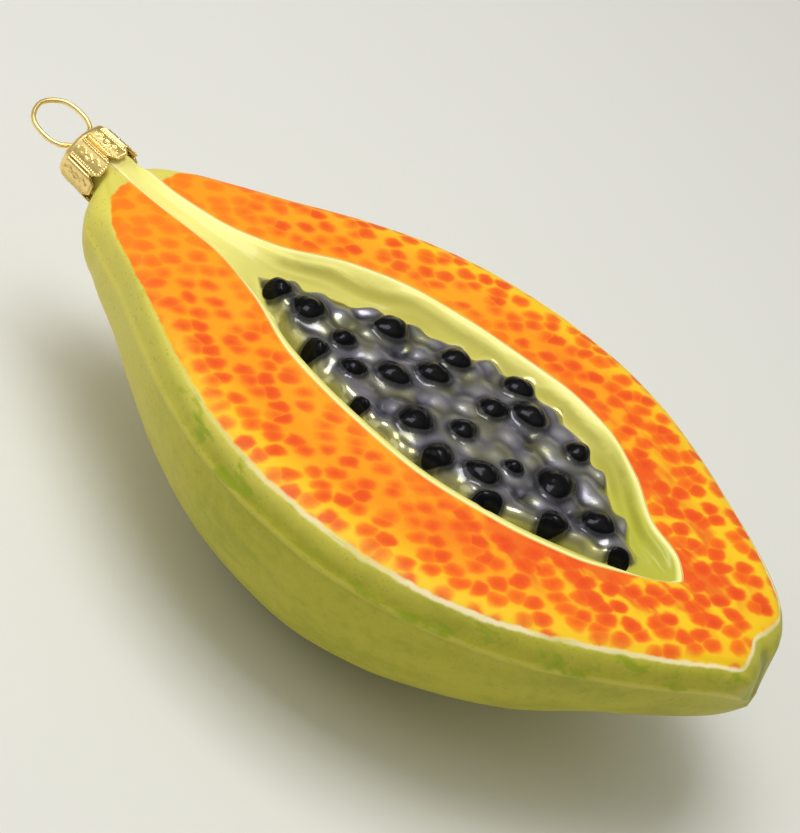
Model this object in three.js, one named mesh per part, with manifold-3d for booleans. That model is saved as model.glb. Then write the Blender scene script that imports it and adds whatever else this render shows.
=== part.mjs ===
// A mouth-blown glass tree ornament in the shape of a lengthwise half papaya, lying on its
// round back, with a stamped metal crown cap and a sprung wire hanger in its neck.
// Millimetres. +X runs from the cap to the blossom end, +Z is up out of the cut face, and
// the origin is under the middle of the whole ornament, on the surface it lies on.

import * as THREE from 'three';
import { mergeVertices } from 'three/addons/utils/BufferGeometryUtils.js';
import Module from 'manifold-3d';

const wasm = await Module();
wasm.setup();

// Glass body: stations run along the fruit from the rim of the cap, 0, to the blossom end.
const FACE_END = 110.6;
const END_BULGE = 2.8;
const END_POLE_DROP = 9.4;
const WALL = 0.9;
const RIM_DROP = 0.8;
const RIM_ROUND = 2.4;
const SECTION_POWER = 2.15;
const REST_DEPTH = 34.6;
const SEAM_RIDGE = 0.35;
const FURROW_DEPTH = 1.0;
const FURROW_WIDTH = 1.7;
const FURROW_ACROSS = -1.6;
const FURROW_TOP = 1.5;
const FURROW_FADE = 8;
const FURROW_LOW = 13;

// Half width of the cut face, half width at the mould seam, depth of the seam and of the keel.
const FACE_HALF = [[0, 4.6], [5, 7], [8, 10], [13, 13.4], [20, 17.8], [30, 24.4], [40, 29.4], [50, 32.1],
  [60, 32.9], [70, 32], [80, 29.1], [88, 24.8], [96, 19.5], [104, 13.5], [108.6, 9.4], [FACE_END, 6.8]];
const SEAM_HALF = [[0, 11], [5, 10], [10, 12.6], [15, 15.5], [20, 19.3], [30, 26], [40, 30.8], [50, 33.5],
  [60, 34.5], [70, 33.3], [80, 30.4], [88, 26.7], [96, 21.4], [104, 15.5], [108.6, 11.7], [FACE_END, 8.9]];
const SEAM_DEPTH = [[0, 4.2], [10, 5.4], [25, 5.2], [90, 5], [104, 4.6], [FACE_END, 4]];
const KEEL_DEPTH = [[0, 11], [5, 14], [10, 17], [20, 22.7], [32, 29], [45, 33.4], [58, 35.2], [68, 34.1],
  [80, 30.3], [90, 26], [98, 20.8], [105, 17.7], [FACE_END, 15.3]];

// Pocket in the cut face: near and far edges, its floor, and the bed of seeds that fills it.
const POCKET_NEAR = [[0, -0.2], [9, -1.3], [18, -1.8], [28, -4.6], [38, -9.4], [50, -12.4], [62, -13.8],
  [74, -12.4], [84, -9.6], [92, -6.2], [96, -3.6], [97.8, -1.6]];
const POCKET_FAR = [[0, 5], [9, 3.4], [16, 3.9], [24, 6.6], [34, 13.6], [44, 17.4], [56, 18.7], [67, 18.8],
  [76, 16.8], [84, 11.4], [90, 5], [95, 2.4], [97.8, -1]];
const POCKET_DEPTH = [[0, 0.5], [12, 0.7], [22, 1.3], [32, 3], [44, 3.8], [76, 3.8], [88, 2.6], [95, 1.5],
  [98, 0]];
const NEAR_WALL = 1.6;
const NEAR_WALL_SHARE = 0.4;
const FAR_WALL = 4.2;
const FAR_WALL_SHARE = 0.45;
const BED_START = 25.5;
const BED_END = 91.5;
const BED_NEAR = [[25, 0.5], [30, -2.6], [36, -6.2], [46, -10.4], [58, -12.6], [68, -12.4], [78, -9.8],
  [86, -6.6], [92, -3]];
const BED_FAR = [[25, 1.5], [30, 4.6], [38, 9.2], [46, 12.4], [54, 15], [64, 16.6], [72, 15], [80, 10.2],
  [86, 4.6], [92, -1.2]];
const BED_TOP = -0.4;
const BED_EDGE = [-0.6, 2.4];
const PLAIN_BED_RISE = 1.2;
const LUMP_RADIUS = 3;
const LUMP_RADIUS_VARIES = 0.15;
const LUMP_RISE = 1.1;
const LUMP_PITCH = 4.6;
const LUMP_ROW_PITCH = 3.68;
const LUMP_STRAY = 0.8;
const SEED_RISE = 1.2;

// Seeds as they lie, from the neck to the blossom end: along, across, half length.
const SEEDS = [[29.6, -0.1, 2], [34.7, 0.2, 2.5], [39.7, -5.9, 1.8], [41.3, -0.9, 1.8], [44.6, 7.1, 2.6],
  [45.3, -4.7, 1.8], [49.6, -9.7, 1.2], [49.7, -0.8, 2.4], [53.5, 4.4, 2.4], [54.3, 9.8, 2.3], [56.4, -5.8, 2.6],
  [62.1, -9.2, 2.3], [62.1, -1.9, 2], [63, 5.6, 2.2], [63.5, 12.7, 2.3], [67.4, 9.2, 2.6], [68, -6.8, 2.45],
  [70.6, -2.2, 1.4], [71.2, -11, 2.2], [75.8, 8.5, 2], [76.3, 0.2, 3], [79.5, -6.7, 2.1], [84.1, -1.3, 2.5],
  [89.3, -4, 1.6]];

// Neck: the middle of the cap's mouth, how far the neck leans off the fruit's axis, its bore.
const MOUTH = new THREE.Vector3(0.7, 0.9, -2.6);
const NECK_LEAN_ACROSS = 0.1;
const NECK_LEAN_UP = 0.1;
const NECK_RADIUS = 3.8;
const NECK_BORE = 2.9;
const NECK_REACH = 4.7;
const FLARE_START = 0.95;
const FLARE_LENGTH = 5.2;
const FLARE_POWER = 0.75;

// Crown cap, along its own axis from the mouth outwards.
const CAP_RADIUS = 4.55;
const CAP_FLARE = 0.2;
const CAP_LENGTH = 6.6;
const CAP_CHAMFER = 0.8;
const CAP_END_INSET = 0.8;
const CAP_SHOULDER_DROP = 0.24;
const CAP_SHOULDER_INSET = 0.25;
const CAP_CROWN = 0.02;
const CAP_WALL = 0.36;
const CAP_PANELS = 8;
const CAP_FLATNESS = 0.45;
const CAP_TURN = THREE.MathUtils.degToRad(17);
const CAP_RIB = 0.22;
const CAP_RIB_ANGLE = 0.1;
const CAP_TURNS = 48;
const NOTCH_DEPTH = 1.4;
const NOTCH_HALF = 0.95;
const NOTCH_START = 2;
const WIRE_HOLE = 0.7;
const WIRE_HOLE_SIDES = 14;

// Hanger wire: two sprung legs in the neck and one oval loop above the cap.
const WIRE_RADIUS = 0.38;
const WIRE_STEPS = 64;
const WIRE_OFF_AXIS = -0.8;
const LEG_HALF = 1.5;
const LEG_SPREAD = 4.6;
const LEG_REACH = 9;
const LEG_BEND = 0.25;
const LEG_BEND_DEPTH = 2.6;
const LOOP_HALF = 3.8;
const LOOP_HEIGHT = 8.6;
const LOOP_LEAN = THREE.MathUtils.degToRad(2);
// Outline of half the loop, as shares of its half width and its height.
const LOOP_OUTLINE = [[0.82, 0.2], [1, 0.45], [0.8, 0.82]];
const WIRE_TURN = THREE.MathUtils.degToRad(-8);

// Facets across a section, outside and inside.
const OUTER_COLUMNS = { flesh: 4, pocket: 26, side: 3, back: 7 };
const INNER_COLUMNS = { flesh: 2, pocket: 7, side: 2, back: 5 };
const NARROWEST = 2.3;

// Stations of the outer surface, close together over the bed of seeds, and of the inner one.
const SHOULDER_STATIONS = [-NECK_REACH, -2.5, FLARE_START, 1.2, 1.6, 2.1, 2.8, 3.7, 4.8, 6.2, 8, 10.2, 13, 16,
  19, 22, 24.2];
const BED_STEP = 1.3;
const END_STATIONS = [93.2, 95, 96.6, 97.8, 100, 102.6, 105.2, 107.6, 109.4, FACE_END];
const INNER_STATIONS = [-NECK_REACH - 2, FLARE_START, 2.4, 3.2, 4.4, 6.4, 9, 13, 18, 23, 27, 32, 38, 45, 52, 60,
  68, 76, 83, 89, 94, 98, 103, 107, FACE_END - WALL];
const OUTER_END_RINGS = 6;
const INNER_END_RINGS = 3;
const INNER_END_BULGE = 2.5;

const GLASS_COLOUR = 0xe8962c;
const CAP_COLOUR = 0xc9a050;
const WIRE_COLOUR = 0xcfa653;

// A smooth line through knots of station and value, level at a peak and never overshooting.
function through(knots) {
  const slopes = knots.map(() => 0);
  for (let i = 1; i < knots.length - 1; i += 1) {
    const before = (knots[i][1] - knots[i - 1][1]) / (knots[i][0] - knots[i - 1][0]);
    const after = (knots[i + 1][1] - knots[i][1]) / (knots[i + 1][0] - knots[i][0]);
    slopes[i] = before * after > 0 ? (2 * before * after) / (before + after) : 0;
  }
  const last = knots.length - 1;
  slopes[0] = (knots[1][1] - knots[0][1]) / (knots[1][0] - knots[0][0]);
  slopes[last] = (knots[last][1] - knots[last - 1][1]) / (knots[last][0] - knots[last - 1][0]);
  return (s) => {
    const at = THREE.MathUtils.clamp(s, knots[0][0], knots[last][0]);
    let i = 0;
    while (i < last - 1 && at > knots[i + 1][0]) i += 1;
    const span = knots[i + 1][0] - knots[i][0];
    const t = (at - knots[i][0]) / span;
    const rise = t * t * (3 - 2 * t);
    const lift = slopes[i] * span * t * (1 - t) ** 2;
    const settle = slopes[i + 1] * span * t * t * (1 - t);
    return knots[i][1] * (1 - rise) + knots[i + 1][1] * rise + lift - settle;
  };
}

const faceHalf = through(FACE_HALF);
const seamHalf = through(SEAM_HALF);
const seamDepth = through(SEAM_DEPTH);
const keelDepth = through(KEEL_DEPTH);
const pocketNear = through(POCKET_NEAR);
const pocketFar = through(POCKET_FAR);
const pocketDepth = through(POCKET_DEPTH);
const bedNear = through(BED_NEAR);
const bedFar = through(BED_FAR);

const ramp = THREE.MathUtils.smoothstep;

// A round-topped bump, 1 at its middle and 0 at its edge.
function dome(distance) {
  return distance < 1 ? Math.sqrt(1 - distance * distance) : 0;
}

// Clear lumps of pulp between the seeds, in staggered rows.
function pulpLumps() {
  const lumps = [];
  let row = 0;
  for (let s = BED_START + 2; s < BED_END - 1; s += LUMP_ROW_PITCH) {
    const shift = row % 2 ? LUMP_PITCH / 2 : 0;
    for (let y = bedNear(s) + shift; y < bedFar(s); y += LUMP_PITCH) {
      const radius = LUMP_RADIUS * (1 + LUMP_RADIUS_VARIES * Math.sin(s * y));
      lumps.push([s + LUMP_STRAY * Math.sin(3 * y), y, radius]);
    }
    row += 1;
  }
  return lumps;
}

const LUMPS = pulpLumps();

// How far the bed of pulp stands up at a place: 0 outside it, 1 well inside.
function bedCover(s, y) {
  const across = Math.min(y - bedNear(s), bedFar(s) - y);
  const along = Math.min(s - BED_START, BED_END - s);
  return ramp(Math.min(across, along), ...BED_EDGE);
}

function bump(list, s, y) {
  let height = 0;
  for (const [along, across, radius] of list) {
    height = Math.max(height, dome(Math.hypot(s - along, y - across) / radius));
  }
  return height;
}

// The floor of the pocket and its two walls, as a height below the cut face.
function pocketFloor(s, y) {
  const near = y - pocketNear(s);
  const far = pocketFar(s) - y;
  if (near <= 0 || far <= 0) return 0;
  const width = near + far;
  const nearWall = Math.min(NEAR_WALL, width * NEAR_WALL_SHARE);
  const farWall = Math.min(FAR_WALL, width * FAR_WALL_SHARE);
  return -pocketDepth(s) * Math.min(ramp(near, 0, nearWall), ramp(far, 0, farWall));
}

// Height of the cut face: level flesh with a rounded rim, the pocket, its pulp and seeds.
function faceHeight(s, y, relief) {
  const edge = ramp(Math.abs(y), faceHalf(s) - RIM_ROUND, faceHalf(s));
  const floor = pocketFloor(s, y) - RIM_DROP * edge * edge;
  const cover = bedCover(s, y);
  if (cover === 0) return floor;
  const bed = (BED_TOP - LUMP_RISE - floor) * cover;
  if (!relief) return floor + Math.min(bed, PLAIN_BED_RISE * cover);
  return floor + bed + LUMP_RISE * cover * bump(LUMPS, s, y) + SEED_RISE * Math.sqrt(cover) * bump(SEEDS, s, y);
}

// Places across the cut face, from the far rim to the near one.
function faceColumns(s, fleshColumns, pocketColumns) {
  const half = faceHalf(s);
  const centre = (pocketFar(s) + pocketNear(s)) / 2;
  const reach = Math.max((pocketFar(s) - pocketNear(s)) / 2, NARROWEST);
  const far = centre + reach;
  const near = centre - reach;
  const places = [];
  for (let i = 0; i < fleshColumns; i += 1) places.push(half + ((far - half) * i) / fleshColumns);
  for (let i = 0; i < pocketColumns; i += 1) places.push(far + ((near - far) * i) / pocketColumns);
  for (let i = 0; i <= fleshColumns; i += 1) places.push(near + ((-half - near) * i) / fleshColumns);
  return places;
}

// Where a column stands on the round neck, as an angle from +Y, far rim first.
const NECK_ANGLES = { farRim: 2, bandFar: 18, bandNear: 122, nearRim: 150, keel: 270 };

function neckAngles(fleshColumns, pocketColumns, sideColumns, backColumns) {
  const steps = [
    [NECK_ANGLES.farRim, NECK_ANGLES.bandFar, fleshColumns],
    [NECK_ANGLES.bandFar, NECK_ANGLES.bandNear, pocketColumns],
    [NECK_ANGLES.bandNear, NECK_ANGLES.nearRim, fleshColumns],
    [NECK_ANGLES.nearRim, NECK_ANGLES.keel, sideColumns + backColumns],
    [NECK_ANGLES.keel, NECK_ANGLES.farRim + 360, sideColumns + backColumns],
  ];
  const angles = [];
  for (const [from, to, count] of steps) {
    for (let i = 0; i < count; i += 1) angles.push(from + ((to - from) * i) / count);
  }
  return angles;
}

// One cross-section of the fruit, far rim first, over the face and back round the skin.
function bodyRing(s, wall, relief, counts) {
  const ring = [];
  for (const y of faceColumns(s, counts.flesh, counts.pocket)) {
    const half = faceHalf(s) - wall;
    const placed = THREE.MathUtils.clamp(y, -half, half);
    ring.push([placed, faceHeight(s, y, relief) - wall]);
  }
  const half = faceHalf(s) - wall;
  const seam = seamHalf(s) - wall;
  const drop = seamDepth(s);
  const keel = keelDepth(s) - wall;
  const ridge = wall ? 0 : SEAM_RIDGE;
  const skin = [];
  for (let i = 1; i <= counts.side; i += 1) {
    const turn = (Math.PI / 2) * (i / counts.side);
    const out = i === counts.side ? ridge : 0;
    const top = RIM_DROP + wall;
    skin.push([half + (seam - half) * Math.sin(turn) + out, -top - (drop - top) * (1 - Math.cos(turn))]);
  }
  for (let i = 1; i <= counts.back; i += 1) {
    const turn = (Math.PI / 2) * (i / counts.back);
    const y = seam * Math.cos(turn) ** (2 / SECTION_POWER);
    skin.push([y, -drop - (keel - drop) * Math.sin(turn) ** (2 / SECTION_POWER)]);
  }
  for (const [y, z] of skin) ring.push([-y, z]);
  for (const [y, z] of skin.slice(0, -1).reverse()) ring.push([y, z]);
  return ring.map(([y, z]) => new THREE.Vector3(s, y, z));
}

// The leaning axis of the neck, and two directions across it.
const NECK_OUT = new THREE.Vector3(-1, NECK_LEAN_ACROSS, NECK_LEAN_UP).normalize();
const NECK_ACROSS = new THREE.Vector3(0, 1, 0).addScaledVector(NECK_OUT, -NECK_OUT.y).normalize();
const NECK_UP = new THREE.Vector3().crossVectors(NECK_ACROSS, NECK_OUT);

function neckRing(s, radius, angles) {
  const middle = MOUTH.clone().addScaledVector(NECK_OUT, (s - MOUTH.x) / NECK_OUT.x);
  return angles.map((degrees) => {
    const turn = THREE.MathUtils.degToRad(degrees);
    const point = middle.clone().addScaledVector(NECK_ACROSS, radius * Math.cos(turn));
    return point.addScaledVector(NECK_UP, radius * Math.sin(turn));
  });
}

// Section at any station: round neck, then the shoulder that swells out of it, then the fruit.
function ringAt(s, wall, relief, counts) {
  const angles = neckAngles(counts.flesh, counts.pocket, counts.side, counts.back);
  const radius = wall ? NECK_BORE : NECK_RADIUS;
  const along = THREE.MathUtils.clamp((s - FLARE_START - wall) / FLARE_LENGTH, 0, 1);
  const swell = (1 - (1 - along) ** 2) ** FLARE_POWER;
  const neck = neckRing(s, radius, angles);
  if (swell === 0) return neck;
  const body = bodyRing(s, wall, relief, counts);
  return body.map((point, i) => neck[i].lerp(point, swell));
}

// The domed blossom end, with its furrow, as rings that shrink to one point.
function endRings(last, bulge, dip, steps) {
  const pole = new THREE.Vector3(last[0].x, 0, -END_POLE_DROP);
  const rings = [];
  for (let i = 1; i < steps; i += 1) {
    const turn = (Math.PI / 2) * (i / steps);
    rings.push(last.map((point) => {
      const placed = pole.clone().lerp(point, Math.cos(turn));
      placed.x += bulge * Math.sin(turn);
      placed.x -= dip * furrow(placed) * Math.sin(turn);
      return placed;
    }));
  }
  pole.x += bulge - dip * furrow(pole);
  return { rings, pole };
}

function furrow(point) {
  const across = (point.y - FURROW_ACROSS) / FURROW_WIDTH;
  const depth = -point.z;
  return Math.exp(-across * across) * ramp(depth, 0, FURROW_TOP) * (1 - ramp(depth, FURROW_FADE, FURROW_LOW));
}

// A closed solid from rings of equal length, flat at its first ring and pointed at its last.
function loft(rings, pole) {
  const count = rings[0].length;
  const points = rings.flat();
  const faces = [];
  for (let r = 0; r < rings.length - 1; r += 1) {
    for (let i = 0; i < count; i += 1) {
      const next = (i + 1) % count;
      const a = r * count + i;
      const b = r * count + next;
      faces.push(a, b, a + count, b, b + count, a + count);
    }
  }
  const middle = rings[0].reduce((sum, p) => sum.add(p), new THREE.Vector3()).divideScalar(count);
  const first = points.push(middle) - 1;
  const tip = points.push(pole) - 1;
  const base = (rings.length - 1) * count;
  for (let i = 0; i < count; i += 1) {
    const next = (i + 1) % count;
    faces.push(first, next, i);
    faces.push(base + i, base + next, tip);
  }
  const geometry = new THREE.BufferGeometry();
  geometry.setAttribute('position', new THREE.Float32BufferAttribute(points.flatMap((p) => [p.x, p.y, p.z]), 3));
  geometry.setIndex(faces);
  return geometry;
}

// A closed mesh as a solid that can be joined and cut, and back again.
function toSolid(geometry) {
  const plain = geometry.clone();
  plain.deleteAttribute('normal');
  plain.deleteAttribute('uv');
  const merged = mergeVertices(plain, 1e-4);
  return new wasm.Manifold(new wasm.Mesh({
    numProp: 3,
    vertProperties: new Float32Array(merged.getAttribute('position').array),
    triVerts: new Uint32Array(merged.getIndex().array),
  }));
}

function toGeometry(solid) {
  const { vertProperties, triVerts } = solid.getMesh();
  const geometry = new THREE.BufferGeometry();
  geometry.setAttribute('position', new THREE.BufferAttribute(new Float32Array(vertProperties), 3));
  geometry.setIndex(new THREE.BufferAttribute(new Uint32Array(triVerts), 1));
  geometry.computeVertexNormals();
  return geometry;
}

function outerStations() {
  const stations = [...SHOULDER_STATIONS];
  for (let s = BED_START; s < BED_END; s += BED_STEP) stations.push(s);
  return [...stations, ...END_STATIONS];
}

// One closed surface of the glass, cut level where the ornament rests.
function glassSurface(stations, wall, columns, bulge, endSteps) {
  const rings = stations.map((s) => ringAt(s, wall, wall === 0, columns));
  const end = endRings(rings[rings.length - 1], bulge, FURROW_DEPTH, endSteps);
  return toSolid(loft([...rings, ...end.rings], end.pole)).trimByPlane([0, 0, 1], wall - REST_DEPTH);
}

function glassBody() {
  const outer = glassSurface(outerStations(), 0, OUTER_COLUMNS, END_BULGE, OUTER_END_RINGS);
  const inner = glassSurface(INNER_STATIONS, WALL, INNER_COLUMNS, INNER_END_BULGE, INNER_END_RINGS);
  return toGeometry(outer.subtract(inner));
}

// Distance from the cap's axis to its wall: eight flat panels with a rounded rib between them.
function capRadius(turn, z) {
  const panel = (2 * Math.PI) / CAP_PANELS;
  const off = ((((turn - CAP_TURN) % panel) + panel) % panel) - panel / 2;
  const flat = Math.cos(panel / 2) / Math.cos(off);
  const rib = CAP_RIB * Math.exp(-(((Math.abs(off) - panel / 2) / CAP_RIB_ANGLE) ** 2));
  const shape = 1 - CAP_FLATNESS + (CAP_FLATNESS * flat) / Math.cos(panel / 4);
  return (CAP_RADIUS + CAP_FLARE * (1 - z / CAP_LENGTH)) * shape + rib;
}

function capRing(z, inset) {
  const ring = [];
  for (let i = 0; i < CAP_TURNS; i += 1) {
    const turn = (2 * Math.PI * i) / CAP_TURNS;
    const radius = capRadius(turn, z) - inset;
    ring.push(new THREE.Vector3(radius * Math.cos(turn), radius * Math.sin(turn), z));
  }
  return ring;
}

// Outside or inside of the cap, from the mouth to its domed-over end.
function capShell(inset, mouth, end) {
  const rings = [
    capRing(mouth, inset),
    capRing(end / 3, inset),
    capRing(end - CAP_CHAMFER, inset),
    capRing(end - CAP_SHOULDER_DROP, inset + CAP_SHOULDER_INSET),
    capRing(end, inset + CAP_END_INSET),
  ];
  return toSolid(loft(rings, new THREE.Vector3(0, 0, end + CAP_CROWN)));
}

// A pointed notch between two tongues of the cap's skirt.
function notch(turn) {
  const outline = new THREE.Shape([
    new THREE.Vector2(-NOTCH_HALF, -1),
    new THREE.Vector2(NOTCH_HALF, -1),
    new THREE.Vector2(NOTCH_HALF, 0),
    new THREE.Vector2(0, NOTCH_DEPTH),
    new THREE.Vector2(-NOTCH_HALF, 0),
  ]);
  const cutter = new THREE.ExtrudeGeometry(outline, { depth: CAP_RADIUS, bevelEnabled: false });
  cutter.rotateX(Math.PI / 2);
  cutter.translate(0, -NOTCH_START, 0);
  cutter.rotateZ(turn + CAP_TURN);
  return toSolid(cutter);
}

function wireHole(x) {
  const cutter = new THREE.CylinderGeometry(WIRE_HOLE, WIRE_HOLE, CAP_LENGTH / 2, WIRE_HOLE_SIDES);
  cutter.rotateX(Math.PI / 2);
  cutter.translate(x, WIRE_OFF_AXIS, CAP_LENGTH);
  cutter.rotateZ(WIRE_TURN);
  return toSolid(cutter);
}

function crownCap() {
  let cap = capShell(0, 0, CAP_LENGTH).subtract(capShell(CAP_WALL, -1, CAP_LENGTH - CAP_WALL));
  for (let i = 0; i < CAP_PANELS; i += 1) cap = cap.subtract(notch((2 * Math.PI * i) / CAP_PANELS));
  for (const x of [-LEG_HALF, LEG_HALF]) cap = cap.subtract(wireHole(x));
  return toGeometry(cap);
}

// The wire's middle line in the cap's frame: a leg, the loop, and the other leg.
function wirePath() {
  const half = [
    new THREE.Vector3(LEG_SPREAD, 0, -LEG_REACH),
    new THREE.Vector3(LEG_HALF + LEG_BEND, 0, -LEG_BEND_DEPTH),
    new THREE.Vector3(LEG_HALF, 0, WIRE_RADIUS),
    new THREE.Vector3(LEG_HALF, 0, CAP_LENGTH - LEG_HALF),
    new THREE.Vector3(LEG_HALF, 0, CAP_LENGTH + WIRE_RADIUS),
  ];
  const loop = LOOP_OUTLINE.map(([wide, high]) => new THREE.Vector3(LOOP_HALF * wide, 0, LOOP_HEIGHT * high));
  const top = new THREE.Vector3(0, 0, LOOP_HEIGHT);
  const lean = new THREE.Vector3(1, 0, 0);
  const lift = new THREE.Vector3(0, 0, CAP_LENGTH);
  for (const point of [...loop, top]) point.applyAxisAngle(lean, LOOP_LEAN).add(lift);
  const right = [...half, ...loop];
  const left = right.map((p) => new THREE.Vector3(-p.x, p.y, p.z)).reverse();
  return new THREE.CatmullRomCurve3([...right, top, ...left], false, 'centripetal');
}

function hangerWire() {
  const section = new THREE.Shape().absarc(0, 0, WIRE_RADIUS, 0, 2 * Math.PI, false);
  const along = { steps: WIRE_STEPS, extrudePath: wirePath(), curveSegments: 4 };
  const wire = new THREE.ExtrudeGeometry(section, along);
  wire.translate(0, WIRE_OFF_AXIS, 0);
  wire.rotateZ(WIRE_TURN);
  return wire;
}

function named(name, geometry, color, roughness, metalness) {
  const mesh = new THREE.Mesh(geometry, new THREE.MeshStandardMaterial({ color, roughness, metalness }));
  mesh.name = name;
  return mesh;
}

// The cap and the wire share the neck's leaning axis.
const crown = new THREE.Group();
crown.add(named('crown_cap', crownCap(), CAP_COLOUR, 0.35, 1));
crown.add(named('hanger_wire', hangerWire(), WIRE_COLOUR, 0.3, 1));
crown.matrix.makeBasis(NECK_ACROSS, NECK_UP.clone().negate(), NECK_OUT).setPosition(MOUTH);
crown.matrix.decompose(crown.position, crown.quaternion, crown.scale);

const fruit = new THREE.Group();
fruit.add(named('glass_body', glassBody(), GLASS_COLOUR, 0.15, 0));
fruit.add(crown);

// The ornament lies on the flat spot of its back, with its middle over the origin.
const ornament = new THREE.Group();
ornament.add(fruit);
fruit.updateMatrixWorld(true);
const extent = new THREE.Box3().setFromObject(fruit, true);
const middle = extent.getCenter(new THREE.Vector3());
fruit.position.set(-middle.x, -middle.y, -extent.min.z);

export default ornament;
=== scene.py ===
"""Dresses a blown-glass half papaya ornament: painted glass, stamped crown cap and wire loop."""

import math

import bmesh
import bpy
import numpy as np
from bpy.props import FloatProperty, FloatVectorProperty, PointerProperty
from mathutils import Matrix, Vector


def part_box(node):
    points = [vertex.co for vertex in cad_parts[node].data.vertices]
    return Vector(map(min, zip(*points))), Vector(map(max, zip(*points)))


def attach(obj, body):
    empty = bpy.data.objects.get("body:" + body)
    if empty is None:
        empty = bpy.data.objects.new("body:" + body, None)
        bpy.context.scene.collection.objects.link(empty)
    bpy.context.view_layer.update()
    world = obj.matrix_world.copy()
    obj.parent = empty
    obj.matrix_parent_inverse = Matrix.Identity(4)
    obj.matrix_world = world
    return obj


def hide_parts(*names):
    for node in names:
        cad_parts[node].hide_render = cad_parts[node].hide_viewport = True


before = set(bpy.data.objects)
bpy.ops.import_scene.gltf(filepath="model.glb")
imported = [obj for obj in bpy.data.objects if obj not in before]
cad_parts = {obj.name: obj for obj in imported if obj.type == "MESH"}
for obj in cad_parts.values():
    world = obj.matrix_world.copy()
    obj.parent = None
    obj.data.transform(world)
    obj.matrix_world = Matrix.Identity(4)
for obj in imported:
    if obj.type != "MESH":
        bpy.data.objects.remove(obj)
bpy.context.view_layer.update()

bl_info = {
    "name": "Glass Papaya Ornament",
    "version": (1, 0, 0),
    "blender": (4, 5, 0),
    "location": "View3D > Sidebar > Papaya",
    "description": "Builds the painted glass, crown cap and wire loop of a half papaya ornament",
    "category": "Add Mesh",
}

MM = 0.001

# Measures are in millimetres. Stations run along the fruit, from 0 near the cap's rim to the blossom end.
FACE_END = 110.6
END_BULGE = 4.0
END_POLE_DROP = 10.4
END_POLE_ACROSS = -1.5
END_STEPS = 24
# Rows on either side of the domed end's join, and how often they are smoothed. The back is rounder.
END_ROWS = 16
END_PASSES = 130
BACK_ROWS = 22
BACK_PASSES = 300
RIM_DROP = 0.8
RIM_ROUND = 2.4
SECTION_POWER = 2.15
REST_DEPTH = 34.6
FURROW_DEPTH = 1.0
FURROW_WIDTH = 1.7
FURROW_ACROSS = -1.6

# Half widths of the cut face and of the mould seam, depths of the seam and of the keel.
FACE_HALF = [(0, 4.6), (5, 7), (8, 10), (13, 13.4), (20, 17.8), (30, 24.4), (40, 29.4), (50, 32.1),
             (60, 32.9), (70, 32), (80, 29.1), (88, 24.8), (96, 19.5), (104, 13.5), (108.6, 9.4),
             (FACE_END, 6.8)]
SEAM_HALF = [(0, 11), (5, 10), (10, 12.6), (15, 15.5), (20, 19.3), (30, 26), (40, 30.8), (50, 33.5),
             (60, 34.5), (70, 33.3), (80, 30.4), (88, 26.7), (96, 21.4), (104, 15.5), (108.6, 11.7),
             (FACE_END, 8.9)]
SEAM_DEPTH = [(0, 4.2), (10, 5.4), (25, 5.2), (90, 5), (104, 4.6), (FACE_END, 4)]
KEEL_DEPTH = [(0, 11), (5, 14), (10, 17), (20, 22.7), (32, 29), (45, 33.4), (58, 35.2), (68, 34.1),
              (80, 30.3), (90, 26), (98, 20.8), (105, 17.7), (FACE_END, 15.3)]

# The pocket's near and far edges and its depth, and the two edges of the bed of pulp in it.
POCKET_NEAR = [(0, -0.2), (9, -1.3), (18, -1.8), (28, -4.6), (38, -9.4), (50, -12.4), (62, -13.8),
               (74, -12.4), (84, -9.6), (92, -6.2), (96, -3.6), (97.8, -1.6)]
POCKET_FAR = [(0, 5), (9, 3.4), (16, 3.9), (24, 6.6), (34, 13.6), (44, 17.4), (56, 18.7), (67, 18.8),
              (76, 16.8), (84, 11.4), (90, 5), (95, 2.4), (97.8, -1)]
POCKET_DEPTH = [(0, 0.5), (12, 0.7), (22, 1.3), (32, 3), (44, 3.8), (76, 3.8), (88, 2.6), (95, 1.5),
                (98, 0)]
POCKET_END = 97.8
NEAR_WALL = 1.6
FAR_WALL = 4.2
# The most of the pocket's width that either wall takes up where the pocket is narrow.
NEAR_WALL_SHARE = 0.4
FAR_WALL_SHARE = 0.45
BED_START = 25.5
BED_END = 91.5
BED_NEAR = [(25, 0.5), (30, -2.6), (36, -6.2), (46, -10.4), (58, -12.6), (68, -12.4), (78, -9.8),
            (86, -6.6), (92, -3)]
BED_FAR = [(25, 1.5), (30, 4.6), (38, 9.2), (46, 12.4), (54, 15), (64, 16.6), (72, 15), (80, 10.2),
           (86, 4.6), (92, -1.2)]
BED_TOP = -0.4
LUMP_RADIUS = 3.0
LUMP_PITCH = 4.6
LUMP_ROW_PITCH = 3.68

# Seeds as they lie, from the neck to the blossom end: along, across, half length.
SEEDS = [(29.6, -0.1, 2), (34.7, 0.2, 2.5), (39.7, -5.9, 1.8), (41.3, -0.9, 1.8), (44.6, 7.1, 2.6),
         (45.3, -4.7, 1.8), (49.6, -9.7, 1.2), (49.7, -0.8, 2.4), (53.5, 4.4, 2.4), (54.3, 9.8, 2.3),
         (56.4, -5.8, 2.6), (62.1, -9.2, 2.3), (62.1, -1.9, 2), (63, 5.6, 2.2), (63.5, 12.7, 2.3),
         (67.4, 9.2, 2.6), (68, -6.8, 2.45), (70.6, -2.2, 1.4), (71.2, -11, 2.2), (75.8, 8.5, 2),
         (76.3, 0.2, 3), (79.5, -6.7, 2.1), (84.1, -1.3, 2.5), (89.3, -4, 1.6)]
# The clear pulp makes each seed look this much wider.
SEED_SWELL = 1.1
# Seeds lean this far from the fruit's length, scattered about that, in degrees, and are longer than wide.
SEED_LEAN = 48
SEED_SCATTER = 30
SEED_SLIM = 1.18
SEED_RING_DEPTH = 0.14
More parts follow.
